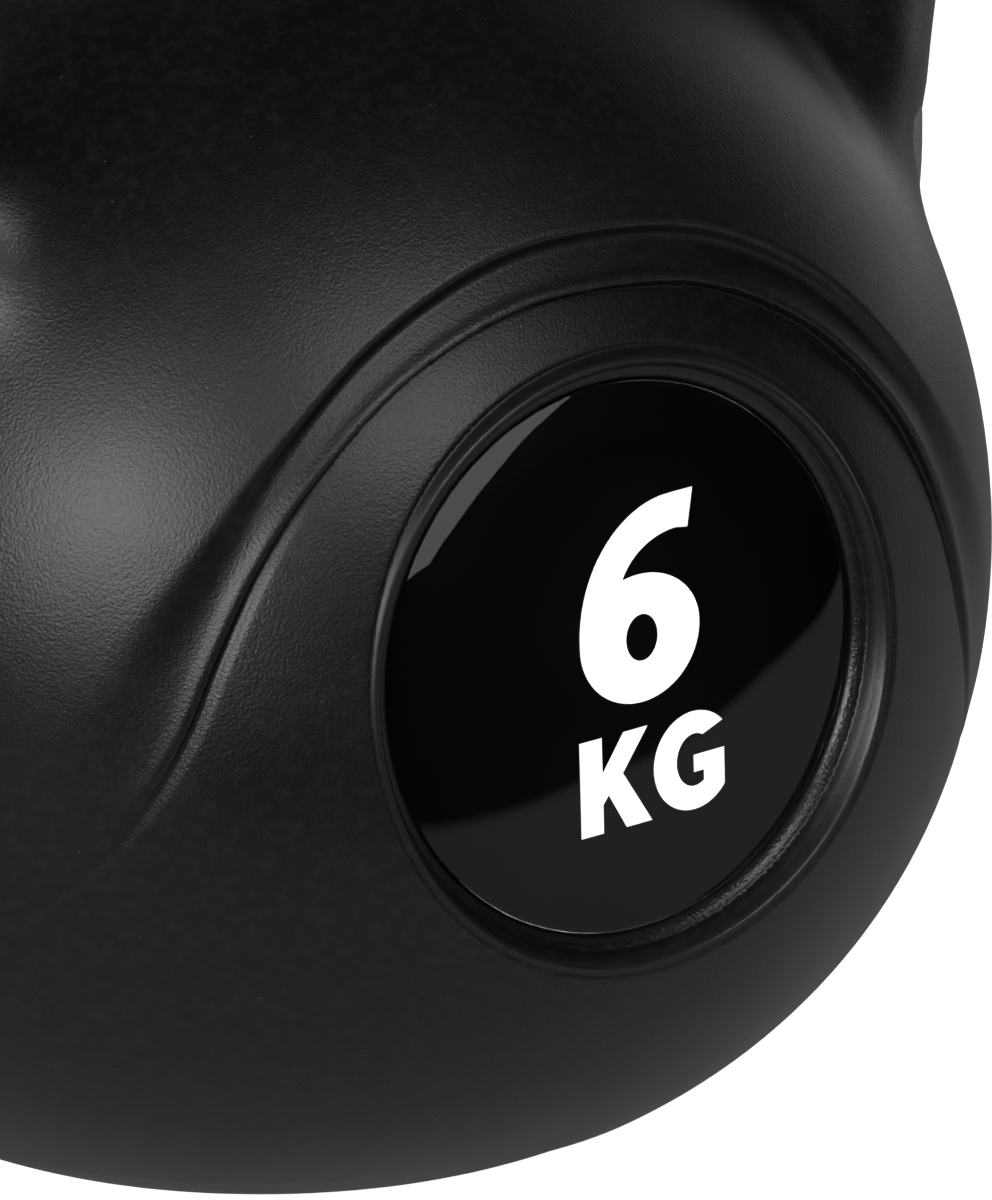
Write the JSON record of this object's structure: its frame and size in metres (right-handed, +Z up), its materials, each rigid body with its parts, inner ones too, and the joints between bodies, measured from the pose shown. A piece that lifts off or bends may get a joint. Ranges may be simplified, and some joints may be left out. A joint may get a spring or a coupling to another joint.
{
  "type": "kettlebell",
  "caption": "Plastic-cased, cement-filled kettlebell: round bell with a flat base, loop handle, wave-edged shoulder, and a domed weight label front and rear.",
  "frame": {"origin": "centre of the flat base, on the floor", "axes": "+Z up along the bell's axis, -Y out of the front label, X along the handle"},
  "size_m": [0.1934, 0.1582, 0.2406],
  "materials": {
    "casing": "fine pebbled matt black moulded polyethylene",
    "filling": "cast cement, sandy",
    "rod": "plain drawn steel rod",
    "plug": "matt black moulded plastic",
    "label_film": "gloss black print with white numerals",
    "label_dome": "clear polished resin over black print"
  },
  "bodies": {
    "root": {"shell": "casing", "concrete_fill": "filling", "handle_rod": "rod", "filler_plug": "plug", "front_label": "label_film", "front_label_dome": "label_dome", "rear_label": "label_film", "rear_label_dome": "label_dome"}
  },
  "joints": []
}
